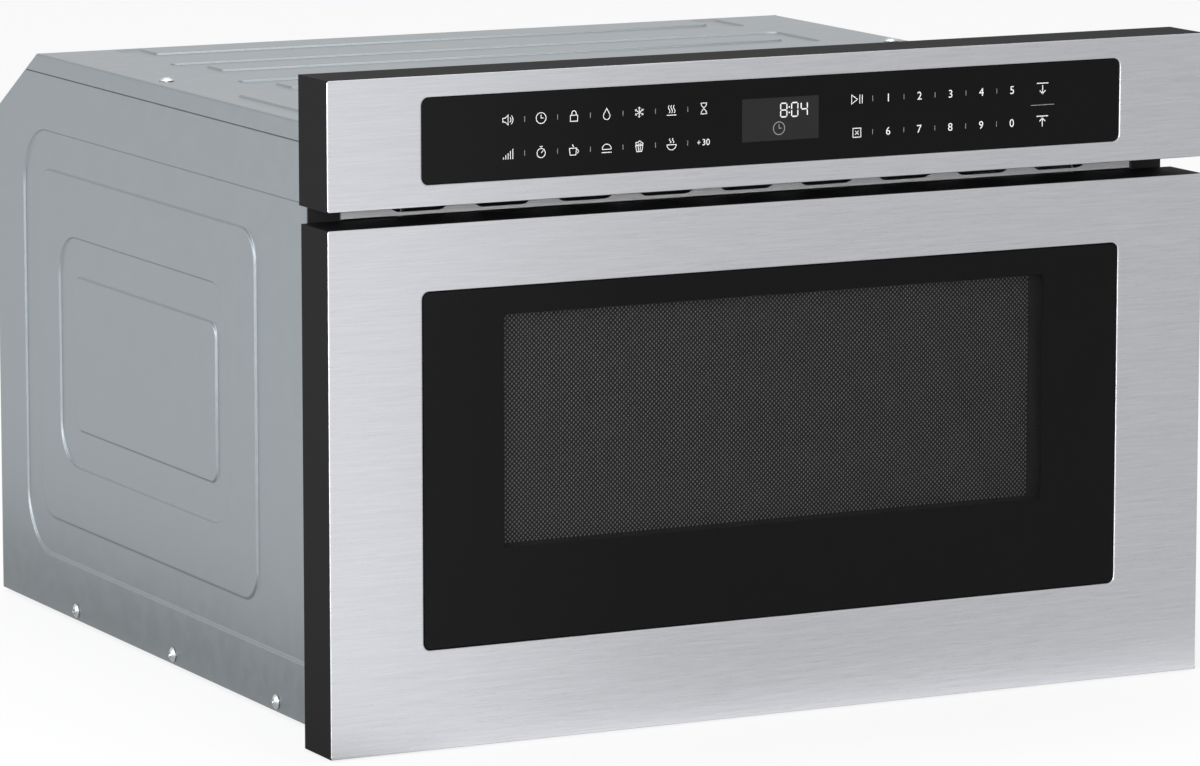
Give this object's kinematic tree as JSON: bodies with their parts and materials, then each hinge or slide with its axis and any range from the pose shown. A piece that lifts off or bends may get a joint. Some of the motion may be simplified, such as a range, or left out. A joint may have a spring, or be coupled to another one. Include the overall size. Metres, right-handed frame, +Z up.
{
  "type": "microwave drawer",
  "caption": "Built-in microwave drawer: galvanised cabinet with a fixed cavity, brushed steel fronts, touch control strip, and a motor-driven drawer bin on telescopic slides.",
  "frame": {"origin": "middle of the footprint, on the surface that the base pads stand on", "axes": "+Z up, +Y from the drawer front to the back, +X to the right of someone who faces it"},
  "size_m": [0.6064, 0.5976, 0.4094],
  "materials": {
    "stainless": "horizontally brushed",
    "galvanised": "galvanised sheet, satin",
    "flange_black": "satin black",
    "vent_silver": "satin silver",
    "frame_black": "satin black moulding",
    "control_glass": "black back-printed glass",
    "window_glass": "tinted glass",
    "clear_glass": "clear glass",
    "tray_ceramic": "white glass ceramic",
    "screen_black": "black perforated steel",
    "enamel": "grey enamel",
    "choke_steel": "zinc-plated steel",
    "choke_plastic": "black choke cover",
    "slide_steel": "zinc-plated steel",
    "zinc_screw": "zinc-plated",
    "rubber": "matt",
    "circuit_board": "solder-masked board",
    "display": "smoked display housing",
    "laminations": "varnished core laminations",
    "copper_winding": "varnished copper wire",
    "capacitor_can": "satin",
    "aluminium": "satin",
    "mica": "mica sheet",
    "switch_plastic": "cream moulding",
    "plunger_red": "red moulding",
    "acetal": "white acetal",
    "fan_plastic": "dark grey moulding",
    "motor_steel": "zinc-plated can",
    "lamp_white": "white ceramic holder and bulb"
  },
  "bodies": {
    "cabinet": {"side_panel_left": "galvanised", "side_panel_right": "galvanised", "top_cover": "galvanised", "rear_panel": "galvanised", "base_pan": "galvanised", "front_flange": "flange_black", "vent_strip": "vent_silver", "control_frame": "frame_black", "control_fascia": "stainless", "control_glass": "control_glass", "display_module": "display", "touch_board": "circuit_board", "cavity_face": "enamel", "cavity_wrap": "enamel", "cavity_ceiling": "enamel", "cavity_back": "galvanised", "cavity_legs": "galvanised", "cavity_lamp": "lamp_white", "exhaust_duct_cover": "galvanised", "exhaust_duct_walls": "galvanised", "slide_supports": "galvanised", "slide_outer_members": "slide_steel", "waveguide": "galvanised", "magnetron": "aluminium", "transformer_core": "laminations", "transformer_windings": "copper_winding", "hv_capacitor": "capacitor_can", "fan_shroud": "galvanised", "fan_motor": "laminations", "stirrer_motor": "motor_steel", "stirrer_cover": "mica", "drive_motor": "motor_steel", "motor_bracket": "galvanised", "interlock_switches": "switch_plastic", "power_board": "circuit_board", "cord_gland": "frame_black", "cabinet_screws": "zinc_screw"},
    "drawer": {"drawer_frame": "frame_black", "drawer_skin": "stainless", "window_glass": "window_glass", "perforated_screen": "screen_black", "choke_ring": "choke_steel", "choke_cover": "choke_plastic", "inner_glass": "clear_glass", "door_back_plate": "choke_steel", "door_plate_screws": "zinc_screw", "drawer_bin": "enamel", "glass_tray": "tray_ceramic", "drawer_arms": "slide_steel", "slide_inner_members": "slide_steel", "drive_rack": "acetal", "interlock_actuators": "frame_black", "drawer_bumpers": "rubber"},
    "fan": {"fan_blade": "fan_plastic"},
    "stirrer": {"stirrer": "aluminium"},
    "pinion": {"drive_pinion": "acetal"},
    "slide_middle_left": {"slide_middle_left": "slide_steel"},
    "slide_middle_right": {"slide_middle_right": "slide_steel"},
    "plunger_left": {"switch_plunger_left": "plunger_red"},
    "plunger_right": {"switch_plunger_right": "plunger_red"}
  },
  "joints": [
    {"name": "drawer_slide", "type": "slide", "parent": "cabinet", "child": "drawer", "axis": [0, -1, 0], "range_m": [0, 0.381]},
    {"name": "pinion_spin", "type": "hinge", "parent": "cabinet", "child": "pinion", "pos_m": [0.18, -0.22375, 0.03213], "axis": [1, 0, 0], "range_deg": [-8, 1827.1]},
    {"name": "slide_left_extend", "type": "slide", "parent": "cabinet", "child": "slide_middle_left", "axis": [0, -1, 0], "range_m": [0, 0.191]},
    {"name": "slide_right_extend", "type": "slide", "parent": "cabinet", "child": "slide_middle_right", "axis": [0, -1, 0], "range_m": [0, 0.191]},
    {"name": "fan_spin", "type": "hinge", "parent": "cabinet", "child": "fan", "pos_m": [0.062, 0.24497, 0.255], "axis": [1, 0, 0], "continuous": true},
    {"name": "stirrer_spin", "type": "hinge", "parent": "cabinet", "child": "stirrer", "pos_m": [0, -0.03195, 0.281], "axis": [0, 0, 1], "continuous": true},
    {"name": "plunger_left_press", "type": "slide", "parent": "cabinet", "child": "plunger_left", "axis": [0, 1, 0], "range_m": [0, 0.0015], "stiffness_N_per_m": 600},
    {"name": "plunger_right_press", "type": "slide", "parent": "cabinet", "child": "plunger_right", "axis": [0, 1, 0], "range_m": [0, 0.0015], "stiffness_N_per_m": 600}
  ],
  "couplings": [
    {"joint": "pinion_spin", "follows": "drawer_slide", "rad_per_m": 83.333},
    {"joint": "slide_left_extend", "follows": "drawer_slide", "ratio": 0.5},
    {"joint": "slide_right_extend", "follows": "drawer_slide", "ratio": 0.5}
  ]
}
